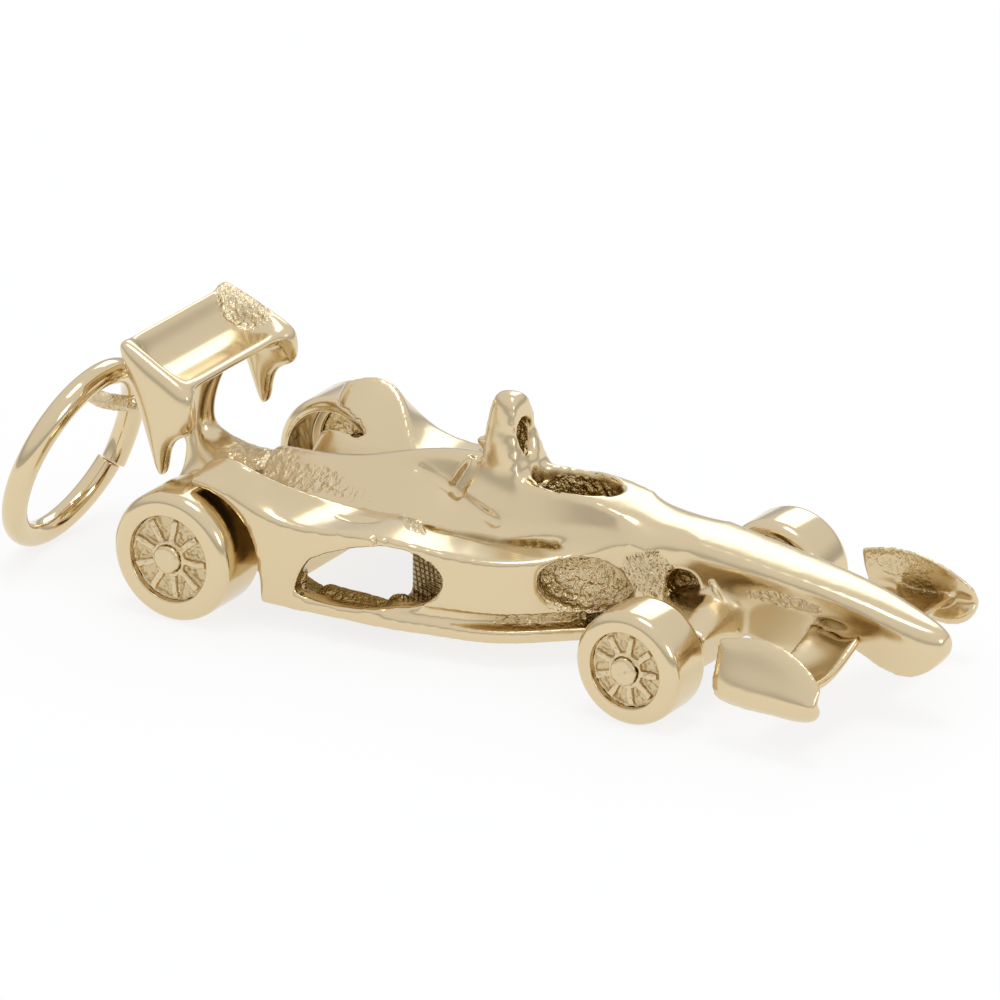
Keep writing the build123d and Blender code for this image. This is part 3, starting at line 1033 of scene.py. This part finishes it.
@dataclass
class Wheel:
    """Turned wheel: a polished cup with a cast spoked disc in its outer face.

    Attributes:
        datum: where the car stands.
        end: the end of the car.
        side: the side of the car.
        wall: thickness of the cup's wall.
        web: thickness of its outer face.
        disc_share: the disc's radius as a share of the wheel's.
        edge: rounding of the tread's edges.
        edge_steps: faces across that rounding.
        lip: rounding of the cup's other edges.
        segments: faces around the cup.
        voxel: size of the cells that the disc is grown from.
        smoothing: how often it is smoothed before and after its panels are sunk.
        spoke_tops: percentile of the front's places that counts as the spokes' tops.
        disc_depth: depth below the spokes' tops down to which faces belong to the disc's front.
        panel_from: depth below the spokes' tops at which the panels between them begin.
        panel_fade: how much deeper they are all panel.
        panel_evening: how often the panels' edges are evened out.
        panel_depth: how much deeper the panels are sunk.
        panel_shade: how much painted shade they get.
        lump_height: height of the lumps of the disc's skin.
        lump_size: size of those lumps.
    """

    datum: Datum
    end: End
    side: Side
    wall: float = 0.45
    web: float = 0.85
    disc_share: float = 0.67
    edge: float = 0.40
    edge_steps: int = 8
    lip: float = 0.10
    segments: int = 160
    voxel: float = 0.03
    smoothing: tuple[int, int] = (3, 2)
    spoke_tops: float = 98.0
    disc_depth: float = 0.40
    panel_from: float = 0.05
    panel_fade: float = 0.06
    panel_evening: int = 2
    panel_depth: float = 0.08
    panel_shade: float = 0.45
    lump_height: float = 0.06
    lump_size: float = 0.25

    def build(self, turned: bpy.types.Material, cast: bpy.types.Material) -> None:
        """Makes the cup and the disc.

        Args:
            turned: the cup's material.
            cast: the disc's material.
        """
        end, side = self.end.value, self.side.name.lower()
        body = f"{end}_{side}_wheel"
        tyre = f"{end}_tyre_{side}"
        disc = f"{end}_disc_{side}"
        cup = self.build_cup(f"{end}_{side}_cup", tyre)
        hand_over(cup, turned, body, (tyre,))
        spokes = self.build_disc(f"{end}_{side}_spokes", disc)
        hand_over(spokes, cast, body, (disc,))

    def build_cup(self, name: str, node: str) -> bpy.types.Object:
        """Turns the cup ring by ring, from the bore over the tread to the hollow behind.

        Args:
            name: the cup's name.
            node: the CAD node that the cup stands for.

        Returns:
            The cup, in millimetres.
        """
        low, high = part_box(node)
        radius = (high.z - low.z) / 2 / MM
        middle = Vector(((low.x + high.x) / 2 / MM, 0, (low.z + high.z) / 2 / MM))
        sign = self.side.value
        outer = (high.y if sign > 0 else low.y) / MM
        inner = (low.y if sign > 0 else high.y) / MM
        web_y = outer - sign * self.web
        bore = self.disc_share * radius
        hollow = radius - self.wall
        profile = [
            (bore, web_y),
            (bore, outer),
            (radius, outer),
            (radius, inner),
            (hollow, inner),
            (hollow, web_y),
            (bore, web_y),
        ]
        cup = turn_piece(name, middle, profile, self.segments)
        with editing(cup):
            bpy.ops.mesh.select_mode(type="EDGE")
            mesh = bmesh.from_edit_mesh(cup.data)
            for edge in mesh.edges:
                rims = [
                    math.hypot(vertex.co.x - middle.x, vertex.co.z - middle.z) > radius - TINY
                    for vertex in edge.verts
                ]
                level = abs(edge.verts[0].co.y - edge.verts[1].co.y) < TINY
                edge.select_set(all(rims) and level)
            bmesh.update_edit_mesh(cup.data)
            bpy.ops.mesh.bevel(offset=self.edge, segments=self.edge_steps, affect="EDGES")
        finish_edges(cup, self.lip, sharp=50, flat=35)
        return cup

    def build_disc(self, name: str, node: str) -> bpy.types.Object:
        """Softens the disc's spokes, as cast, sinks the panels between them and darkens them with
        painted shade.

        Args:
            name: the disc's name.
            node: the CAD node that the disc stands for.

        Returns:
            The disc, in millimetres.
        """
        disc = join(name, [copy_in_millimetres(self.datum.frame, node)])
        grow(disc, self.voxel, self.smoothing[0])
        outness = self.side.value * places_of(disc)[:, 1]
        outward = self.side.value * normals_of(disc)[:, 1] > OUTWARD
        depth = np.percentile(outness[outward], self.spoke_tops) - outness
        panels = np.clip((depth - self.panel_from) / self.panel_fade, 0, 1)
        panels = evened(disc, panels * outward * (depth < self.disc_depth), self.panel_evening)
        raise_skin(disc, "panels", panels, -self.panel_depth)
        smooth(disc, self.smoothing[1])
        roughen(disc, np.ones(len(disc.data.vertices)), self.lump_height, self.lump_size)
        # Painted shade: the sunk panels between the spokes are darkened.
        keep_attribute(disc, "cavity", panels * self.panel_shade)
        return disc


def turn_piece(
    name: str, middle: Vector, profile: list[tuple[float, float]], segments: int
) -> bpy.types.Object:
    """Turns a closed profile about a line across the car, ring by ring.

    Args:
        name: the new object's name.
        middle: a point on the line.
        profile: a radius and a place along Y for each ring; the last is the first again.
        segments: faces around the line.

    Returns:
        The turned piece, in millimetres.
    """
    radius, along = profile[0]
    bpy.ops.object.select_all(action="DESELECT")
    bpy.ops.mesh.primitive_circle_add(
        vertices=segments,
        radius=radius,
        fill_type="NOTHING",
        location=(middle.x, along, middle.z),
        rotation=(math.pi / 2, 0, 0),
    )
    piece = bpy.context.view_layer.objects.active
    piece.name = name
    piece.data.name = name
    settle(piece)
    with editing(piece):
        bpy.ops.mesh.select_mode(type="EDGE")
        bpy.ops.mesh.select_all(action="SELECT")
        for next_radius, next_along in profile[1:]:
            step = (0, next_along - along, 0)
            bpy.ops.mesh.extrude_region_move(TRANSFORM_OT_translate={"value": step})
            share = next_radius / radius
            centre = (middle.x, next_along, middle.z)
            bpy.ops.transform.resize(value=(share, 1, share), center_override=centre)
            radius, along = next_radius, next_along
        bpy.ops.mesh.select_all(action="SELECT")
        bpy.ops.mesh.remove_doubles(threshold=TINY)
        bpy.ops.mesh.normals_make_consistent(inside=False)
    return piece


@dataclass
class Axle:
    """Axle with hammered rivet heads outside the wheels.

    Attributes:
        datum: where the car stands.
        end: the end of the car.
        voxel: size of the cells that it is grown from.
        smoothing: how often it is smoothed.
        lump_height: height of the lumps of its skin.
        lump_size: size of those lumps.
    """

    datum: Datum
    end: End
    voxel: float = 0.05
    smoothing: int = 5
    lump_height: float = 0.05
    lump_size: float = 0.30

    def build(self, finish: bpy.types.Material) -> None:
        """Makes the axle.

        Args:
            finish: its material.
        """
        node = f"{self.end.value}_axle"
        axle = join(f"{node}_riveted", [copy_in_millimetres(self.datum.frame, node)])
        grow(axle, self.voxel, self.smoothing)
        roughen(axle, np.ones(len(axle.data.vertices)), self.lump_height, self.lump_size)
        hand_over(axle, finish, "car", (node,))


@dataclass
class JumpRing:
    """Split ring of round wire, whose cut ends stand slightly apart.

    Attributes:
        outer_d: the ring's outer diameter.
        wire_d: the wire's diameter.
        lean: lean from upright, in degrees.
        gap_angle: place of the cut, in degrees.
        gap: width of the cut.
        twist: how far one end stands out of line.
        twist_angle: how far round from the cut the twist reaches, in radians.
        lip: rounding of the cut ends.
        segments: faces along the wire.
        wire_segments: faces around the wire.
        middle: the ring's middle.
        across: direction across the car, in the ring's plane.
        up: direction square to it, in the ring's plane.
        axis: direction of the ring's axis.
        radial: direction from the middle to the cut.
        along: direction along the wire at the cut.
    """

    outer_d: float = 7.32
    wire_d: float = 0.87
    lean: float = 20.4
    gap_angle: float = -27.0
    gap: float = 0.05
    twist: float = 0.14
    twist_angle: float = 0.9
    lip: float = 0.05
    segments: int = 240
    wire_segments: int = 40
    middle: Vector = field(init=False)
    across: Vector = field(init=False)
    up: Vector = field(init=False)
    axis: Vector = field(init=False)
    radial: Vector = field(init=False)
    along: Vector = field(init=False)

    def __post_init__(self) -> None:
        """Finds the ring's middle and directions, and those of its cut."""
        lean = math.radians(self.lean)
        low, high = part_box("jump_ring")
        self.middle = (low + high) / (2 * MM)
        self.across = Vector((0, 1, 0))
        self.axis = Vector((math.cos(lean), 0, -math.sin(lean)))
        self.up = self.axis.cross(self.across)
        cut = math.radians(self.gap_angle)
        self.radial = math.cos(cut) * self.across + math.sin(cut) * self.up
        self.along = math.cos(cut) * self.up - math.sin(cut) * self.across

    def build(self, finish: bpy.types.Material) -> None:
        """Makes the ring.

        Args:
            finish: its material.
        """
        turn = Matrix((self.across, self.up, self.axis)).transposed()
        bpy.ops.object.select_all(action="DESELECT")
        bpy.ops.mesh.primitive_torus_add(
            location=self.middle,
            rotation=turn.to_euler(),
            major_radius=(self.outer_d - self.wire_d) / 2,
            minor_radius=self.wire_d / 2,
            major_segments=self.segments,
            minor_segments=self.wire_segments,
        )
        ring = bpy.context.view_layer.objects.active
        ring.name = "ring_wire"
        ring.data.name = "ring_wire"
        settle(ring)
        self.cut_gap(ring)
        self.twist_end(ring)
        finish_edges(ring, self.lip, sharp=60, flat=40)
        hand_over(ring, finish, "ring", ("jump_ring",))

    def cut_gap(self, ring: bpy.types.Object) -> None:
        """Cuts the ring through and closes both ends.

        Args:
            ring: the mesh object, in millimetres.
        """

        def in_gap(place: Vector) -> bool:
            """True for the faces in the cut."""
            offset = place - self.middle
            return offset.dot(self.radial) > 0 and abs(offset.dot(self.along)) < self.gap / 2

        with editing(ring):
            for side in (-1, 1):
                bpy.ops.mesh.select_all(action="SELECT")
                place = self.middle + self.along * side * self.gap / 2
                bpy.ops.mesh.bisect(plane_co=place, plane_no=self.along)
            choose_faces(ring, in_gap)
            bpy.ops.mesh.delete(type="FACE")
            bpy.ops.mesh.select_all(action="DESELECT")
            bpy.ops.mesh.select_mode(type="EDGE")
            bpy.ops.mesh.select_non_manifold()
            bpy.ops.mesh.edge_face_add()

    def twist_end(self, ring: bpy.types.Object) -> None:
        """Bends one cut end out of line.

        Args:
            ring: the mesh object, in millimetres.
        """
        for vertex in ring.data.vertices:
            offset = vertex.co - self.middle
            angle = math.atan2(offset.dot(self.along), offset.dot(self.radial))
            if 0 < angle < self.twist_angle:
                vertex.co += self.axis * self.twist * (1 - angle / self.twist_angle) ** 2


@dataclass(frozen=True)
class Lamp:
    """Soft square lamp that faces the car.

    Attributes:
        name: the lamp's name.
        place: its place, in metres.
        size: its side, in metres.
        power: its power, in watts.
        colour: its colour.
    """

    name: str
    place: Point
    size: float
    power: float
    colour: Colour = (0.88, 0.96, 1.0)

    def build(self) -> None:
        """Makes the lamp."""
        data = bpy.data.lights.new(self.name, "AREA")
        data.shape = "SQUARE"
        data.size = self.size
        data.energy = self.power
        data.color = self.colour
        lamp = bpy.data.objects.new(self.name, data)
        bpy.context.scene.collection.objects.link(lamp)
        lamp.location = self.place
        lamp.rotation_euler = Vector(self.place).to_track_quat("Z", "Y").to_euler()


@dataclass
class Studio:
    """White surroundings, a pale floor, soft lamps and the camera.

    Attributes:
        datum: where the car stands.
        turn: the camera's turn from square on to the car's right side, in degrees.
        pitch: how far the camera looks down, in degrees.
        distance: from the camera to the middle of the car, in millimetres.
        lens: focal length, in millimetres.
        sensor: width of the camera's sensor, in millimetres.
        picture: width of the picture, in pixels.
        aim: how far the middle of the picture lies right of and above the car's middle, in pixels.
        clip_start: nearest distance that the camera sees, in metres.
        floor_size: side of the floor, in metres.
        lamps: the lamps.
        tent: the surroundings' colours from the horizon, 0, up to straight above and below, 1.
    """

    datum: Datum
    turn: float = 32.23
    pitch: float = 22.87
    distance: float = 401.5
    lens: float = 432.0
    sensor: float = 36.0
    picture: int = 1000
    aim: tuple[float, float] = (10.3, 114.6)
    clip_start: float = 0.01
    floor_size: float = 0.7
    lamps: tuple[Lamp, ...] = (
        Lamp("top", (0.02, 0.0, 0.35), size=0.12, power=0.22),
        Lamp("rear", (-0.10, 0.30, 0.20), size=0.16, power=0.13),
        Lamp("nose", (0.32, -0.10, 0.16), size=0.10, power=0.12),
    )
    tent: tuple[tuple[float, Colour], ...] = (
        (0.0, (0.62, 0.62, 0.64)),
        (0.12, (0.52, 0.52, 0.54)),
        (0.35, (0.84, 0.84, 0.87)),
        (1.0, (0.88, 0.88, 0.92)),
    )

    def build(self) -> None:
        """Makes the whole studio."""
        self.build_camera()
        self.build_floor()
        self.build_world()
        for lamp in self.lamps:
            lamp.build()

    def build_camera(self) -> None:
        """Makes the camera, at the photograph's angle."""
        turn = math.radians(self.turn)
        pitch = math.radians(self.pitch)
        level_look = Vector((-math.sin(turn), math.cos(turn), 0))
        look = level_look * math.cos(pitch) - Vector((0, 0, math.sin(pitch)))
        right = Vector((math.cos(turn), math.sin(turn), 0))
        up = right.cross(look)
        place = self.datum.at(*(-self.distance * look)) * MM
        aside, above = (pixels * self.sensor / self.lens / self.picture for pixels in self.aim)
        forward = (look + right * aside + up * above).normalized()
        level = forward.cross(Vector((0, 0, 1))).normalized()
        data = bpy.data.cameras.new("camera")
        data.lens = self.lens
        data.sensor_width = self.sensor
        data.clip_start = self.clip_start
        camera = bpy.data.objects.new("camera", data)
        bpy.context.scene.collection.objects.link(camera)
        turned = Matrix((level, level.cross(forward), -forward)).transposed().to_4x4()
        camera.matrix_world = Matrix.Translation(place) @ turned
        bpy.context.scene.camera = camera

    def build_floor(self) -> None:
        """Makes the pale floor."""
        bpy.ops.object.select_all(action="DESELECT")
        bpy.ops.mesh.primitive_plane_add(size=self.floor_size)
        floor = bpy.context.view_layer.objects.active
        floor.name = "floor"
        floor.data.materials.append(StudioWhite().material())

    def build_world(self) -> None:
        """Makes the surroundings: white to the camera, a tent that is brighter above for the rest."""
        world = bpy.data.worlds.new("tent")
        world.use_nodes = True
        bpy.context.scene.world = world
        graph = Graph(world.node_tree)
        direction = graph.add("ShaderNodeTexCoord", {}, {}, "Generated")
        height = graph.part(direction, 2).math("ABSOLUTE")
        tent = graph.add("ShaderNodeValToRGB", {"stops": self.tent}, {0: height})
        camera = graph.add("ShaderNodeLightPath", {}, {}, "Is Camera Ray")
        colour = graph.mixed(camera, tent, (1, 1, 1))
        shader = graph.add("ShaderNodeBackground", {}, {"Color": colour, "Strength": 1.0})
        graph.add("ShaderNodeOutputWorld", {}, {"Surface": shader})


# What was left rough, given painted shade, sanded, rounded or cut in on this car. A zone has its
# centre, reach and amount, and a line its points, half width and height.

BODY_SKIN = Skin(
    rough=(
        # Side inlets
        Zone((4.60, 1.75, 2.60), (2.0, 1.2, 1.4)),
        # Flanks where the nose begins
        Zone((7.10, 1.45, 3.60), (1.2, 0.6, 1.0), 0.8),
        # Valley in front of the tail
        Zone((-8.70, 0.50, 3.90), (2.2, 1.3, 0.7), 0.42),
        Zone((-6.30, 1.00, 3.90), (1.7, 0.8, 0.7), 0.42),
        # Creases inside the pods
        Zone((-4.20, 1.55, 4.00), (2.2, 0.45, 0.5), 0.35),
        # Cockpit
        Zone((3.10, 0.00, 4.55), (2.3, 0.95, 0.75)),
        # Rear walls of the windows
        Zone((-4.75, 3.80, 2.00), (0.9, 0.95, 1.2)),
        # Right wheel arch
        Zone((-8.45, -3.70, 1.60), (2.8, 1.1, 2.5), 0.8, both_sides=False),
        # Sills of the windows
        Zone((-2.50, 3.70, 1.30), (2.4, 0.9, 0.5), 0.6),
        # Flanks of the nose
        Zone((12.00, 1.00, 3.55), (1.7, 0.45, 0.35)),
        # Corners between nose and keel
        Zone((13.40, 0.90, 2.75), (0.4, 0.4, 0.6)),
        # Foot of the loop
        Zone((-14.20, -1.35, 4.90), (1.4, 1.2, 1.4), 0.5, both_sides=False),
    ),
    # Painted shade in arches, pockets, sills and creases, where shade falls.
    painted_shade=(
        # Wheel arches
        Zone((-8.45, 3.60, 1.60), (3.0, 1.3, 2.6), 0.9),
        # Front end of the cockpit
        Zone((4.40, 0.00, 4.50), (1.0, 1.0, 0.8), 0.8),
        # Rear walls of the windows
        Zone((-4.75, 3.70, 1.90), (0.8, 1.0, 1.1)),
        # Sills of the windows
        Zone((-2.50, 3.65, 1.25), (2.6, 1.1, 0.7)),
        # Pockets behind the front arms
        Zone((7.90, 1.10, 3.00), (0.5, 0.5, 0.6)),
        # Creases above the inlets
        Zone((1.80, 2.55, 3.90), (2.9, 0.5, 0.4), 0.55),
        # Slots between nose and keel
        Zone((13.80, 0.95, 3.10), (0.8, 0.3, 0.25)),
    ),
    satin=(
        # Flanks of the nose
        Zone((11.60, 1.00, 2.90), (3.6, 0.7, 1.2), 0.9),
        # Flanks where the nose begins
        Zone((6.30, 1.50, 3.30), (1.6, 0.7, 1.3), 0.6),
        # Creases above the inlets
        Zone((1.80, 2.55, 3.90), (2.9, 0.5, 0.4), 0.6),
        # Valley in front of the tail
        Zone((-8.60, 0.60, 3.90), (2.6, 1.5, 0.9), 0.5),
        # Foot of the loop
        Zone((-14.20, -1.35, 4.90), (1.5, 1.3, 1.5), 0.6, both_sides=False),
    ),
    # Front walls of the windows
    scaled=(Zone((-0.90, 2.85, 2.30), (1.1, 1.1, 1.5), facing=(-0.3, 0.95, 0.0)),),
    rounded=(
        # Lower rear corners of the pods
        Zone((-5.90, 5.00, 1.00), (1.1, 0.9, 1.0)),
        # Upper rims of the pods
        Zone((-5.50, 5.10, 4.20), (3.2, 0.5, 0.9), 0.6),
        # Top of the roll hoop
        Zone((1.10, 0.00, 6.60), (1.3, 1.2, 0.8), 0.6),
        # Roots of the front arms
        Zone((9.60, 1.20, 3.30), (1.3, 0.8, 1.2), 0.7),
    ),
    # Join of nose and body
    levelled=(Zone((7.10, 0.00, 4.95), (1.9, 1.9, 0.9)),),
    sunk=(
        # Hollows behind the louvres
        Zone((-3.20, 3.25, 3.95), (0.95, 0.26, 0.4), 0.12, edge=0.7),
        # Slots between nose and keel
        Zone((13.80, 0.95, 3.10), (0.8, 0.3, 0.22), 0.15, edge=0.7),
        # Top of the roll hoop
        Zone((1.00, 0.00, 6.35), (1.3, 1.1, 0.9), -0.13, edge=0.8),
    ),
    lines=(
        # Louvres
        Line(((-2.00, -2.45, 4.05), (-1.00, -3.30, 4.05)), 0.10, 0.10),
        Line(((-1.74, -2.45, 4.05), (-0.74, -3.30, 4.05)), 0.10, 0.10),
        Line(((-1.48, -2.45, 4.05), (-0.48, -3.30, 4.03)), 0.10, 0.10),
        # Ridges from the louvres back to the valley
        Line(
            ((-5.60, -1.25, 3.95), (-4.40, -1.75, 3.95), (-3.00, -2.10, 4.05), (-1.90, -2.35, 4.00)),
            0.15,
            0.12,
        ),
        Line(((-5.20, -1.45, 3.95), (-4.20, -2.00, 3.95), (-2.80, -2.40, 4.05)), 0.10, 0.08),
        # Nicks in the pods' rims
        Line(((-1.75, -4.40, 4.00), (-1.62, -4.60, 3.55)), 0.12, -0.09),
        Line(((-1.30, -4.40, 4.00), (-1.20, -4.55, 3.60)), 0.12, -0.07),
        # Ribs behind the roll hoop
        Line(((0.05, -0.36, 6.45), (-0.50, -0.42, 5.67), (-1.00, -0.72, 4.82)), 0.17, 0.22),
        # Sills of the windows
        Line(((-3.90, -3.75, 1.30), (-2.50, -3.70, 1.32), (-1.10, -3.60, 1.40)), 0.45, 0.28),
        # Creases from the roll hoop forward
        Line(
            ((-2.37, -0.60, 4.92), (-1.02, -0.90, 4.65), (0.31, -1.45, 4.50), (1.38, -1.78, 4.23)),
            0.28,
            -0.06,
        ),
        # Crests in front of the front arms
        Line(((9.45, -1.26, 3.70), (9.90, -1.45, 3.10), (10.35, -1.25, 2.20)), 0.14, 0.12),
    ),
)
WING_SKIN = Skin(
    rough=(
        # Left end of the rear wing
        Zone((-11.80, 2.75, 7.70), (1.7, 0.75, 1.0), 0.7, both_sides=False),
        # Left front plate
        Zone((13.20, 4.30, 3.00), (2.2, 0.8, 1.2), 0.5, both_sides=False),
    ),
    satin=(
        # Front plates
        Zone((13.20, 4.60, 3.00), (2.6, 1.2, 1.6), 0.35),
        # Left end of the rear wing
        Zone((-11.80, 2.75, 7.70), (2.0, 0.9, 1.2), 0.3, both_sides=False),
    ),
    # Outer faces of the front plates
    levelled=(Zone((13.20, 4.90, 2.90), (3.0, 1.3, 2.2), facing=(0.0, 1.0, 0.3)),),
)


def main() -> None:
    """Builds the charm's looks piece by piece."""
    logging.basicConfig(level=logging.INFO, format="%(message)s")
    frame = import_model()
    bpy.context.scene.view_settings.view_transform = "Standard"
    datum = Datum(frame)

    cast_gold = Gold("cast gold").material()
    disc_gold = Gold("disc gold", least_skin=0.6, skin=0.34, grain=0.03).material()
    turned_gold = Gold("turned gold", polish=0.15).material()
    wire_gold = Gold("wire gold", polish=0.09, wave=0.008).material()

    body_nodes = ("body_shell", "nose", "front_axle_beam", "wing_keel", "roll_hoop")
    Casting(datum, "car_casting", body_nodes, BODY_SKIN, voxel=0.098).build(cast_gold)
    tail_nodes = ("gearbox", "diffuser", "rear_wing_post", "hanging_loop")
    Casting(datum, "tail_casting", tail_nodes, BODY_SKIN, voxel=0.08).build(cast_gold)
    front_nodes = ("front_wing", "front_plate_left", "front_plate_right")
    Casting(datum, "front_wing_casting", front_nodes, WING_SKIN, voxel=0.07).build(cast_gold)
    rear_nodes = ("rear_wing", "rear_plate_left", "rear_plate_right")
    Casting(datum, "rear_wing_casting", rear_nodes, WING_SKIN, voxel=0.07, swell=0.05).build(cast_gold)
    for end in End:
        for side in Side:
            Wheel(datum, end, side).build(turned_gold, disc_gold)
        Axle(datum, end).build(disc_gold)
    JumpRing().build(wire_gold)
    Studio(datum).build()


if __name__ == "__main__":
    main()
